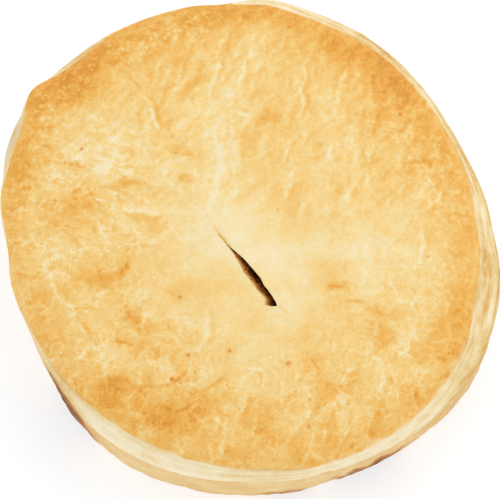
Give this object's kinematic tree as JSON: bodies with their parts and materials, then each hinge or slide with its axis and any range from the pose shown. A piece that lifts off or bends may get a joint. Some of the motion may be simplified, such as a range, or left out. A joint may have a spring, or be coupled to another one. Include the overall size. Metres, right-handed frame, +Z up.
{
  "type": "mince and cheese pie",
  "caption": "Round baked pie with a tapered pastry case, a meat and cheese filling and a puffed flaky golden lid with a leaning steam slit.",
  "frame": {"origin": "middle of the pie's footprint, on the surface that it stands on", "axes": "+Z up through the lid, +Y along the pie's longer side, +X across it"},
  "size_m": [0.1097, 0.1158, 0.0329],
  "materials": {
    "case_pastry": "matte",
    "filling": "satin",
    "lid_pastry": "matte"
  },
  "bodies": {
    "root": {"base_crust": "case_pastry", "filling": "filling", "lid": "lid_pastry"}
  },
  "joints": []
}
